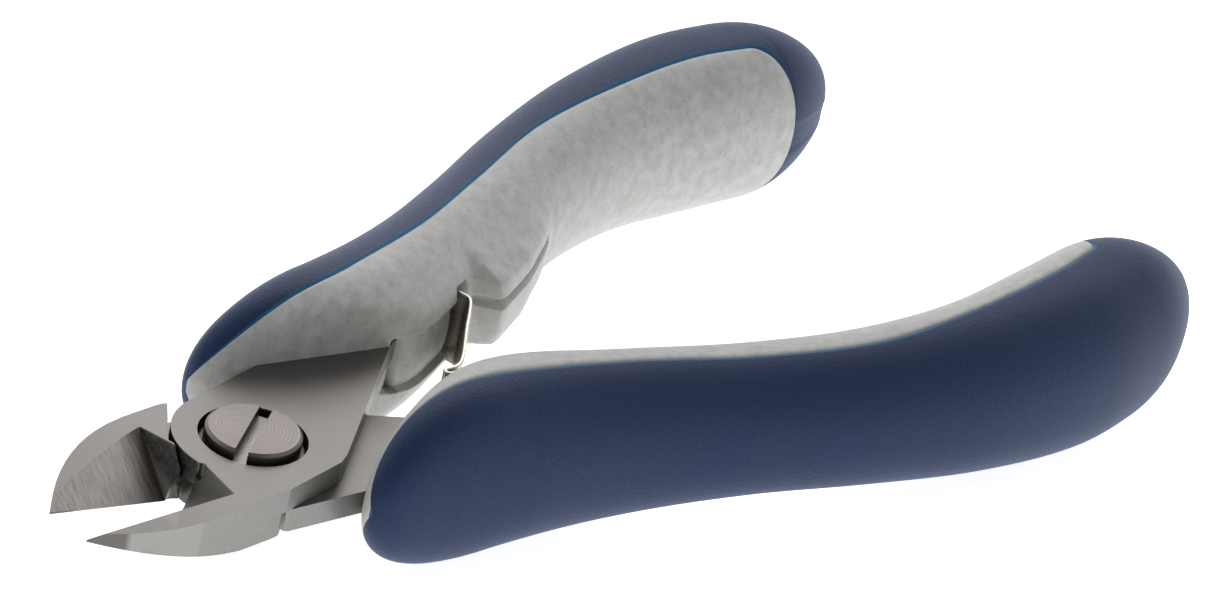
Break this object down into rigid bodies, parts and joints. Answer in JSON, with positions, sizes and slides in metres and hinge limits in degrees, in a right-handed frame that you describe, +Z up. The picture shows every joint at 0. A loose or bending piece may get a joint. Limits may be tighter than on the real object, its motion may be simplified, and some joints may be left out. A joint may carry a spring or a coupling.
{
  "type": "diagonal cutting pliers",
  "caption": "Lap-jointed diagonal cutters with tapered oval jaws, a slotted pivot screw, two-tone moulded handles and a leaf return spring.",
  "frame": {"origin": "on the resting surface, below the middle of the tool's bounding box", "axes": "+X from the jaw tips towards the rear of the handles, +Z up along the pivot screw, away from the surface the handles lie on"},
  "size_m": [0.1417, 0.0758, 0.0204],
  "materials": {
    "ground_steel": "satin ground",
    "screw_steel": "turned",
    "washer_steel": "satin",
    "spring_steel": "tempered",
    "hard_plastic": "matte, mottled",
    "soft_grip": "fine leather grain"
  },
  "bodies": {
    "lower": {"lower_half": "ground_steel", "pivot_screw": "screw_steel", "bearing_washer": "washer_steel", "near_handle_body": "hard_plastic", "near_soft_grip": "soft_grip"},
    "upper": {"upper_half": "ground_steel", "far_handle_body": "hard_plastic", "far_soft_grip": "soft_grip", "leaf_spring": "spring_steel"}
  },
  "joints": [
    {"name": "pivot", "type": "hinge", "parent": "lower", "child": "upper", "pos_m": [-0.0473, 0, 0.0102], "axis": [0, 0, 1], "range_deg": [-12.4, 0.5], "stiffness_Nm_per_rad": 1.2, "deforming": ["leaf_spring"]}
  ]
}
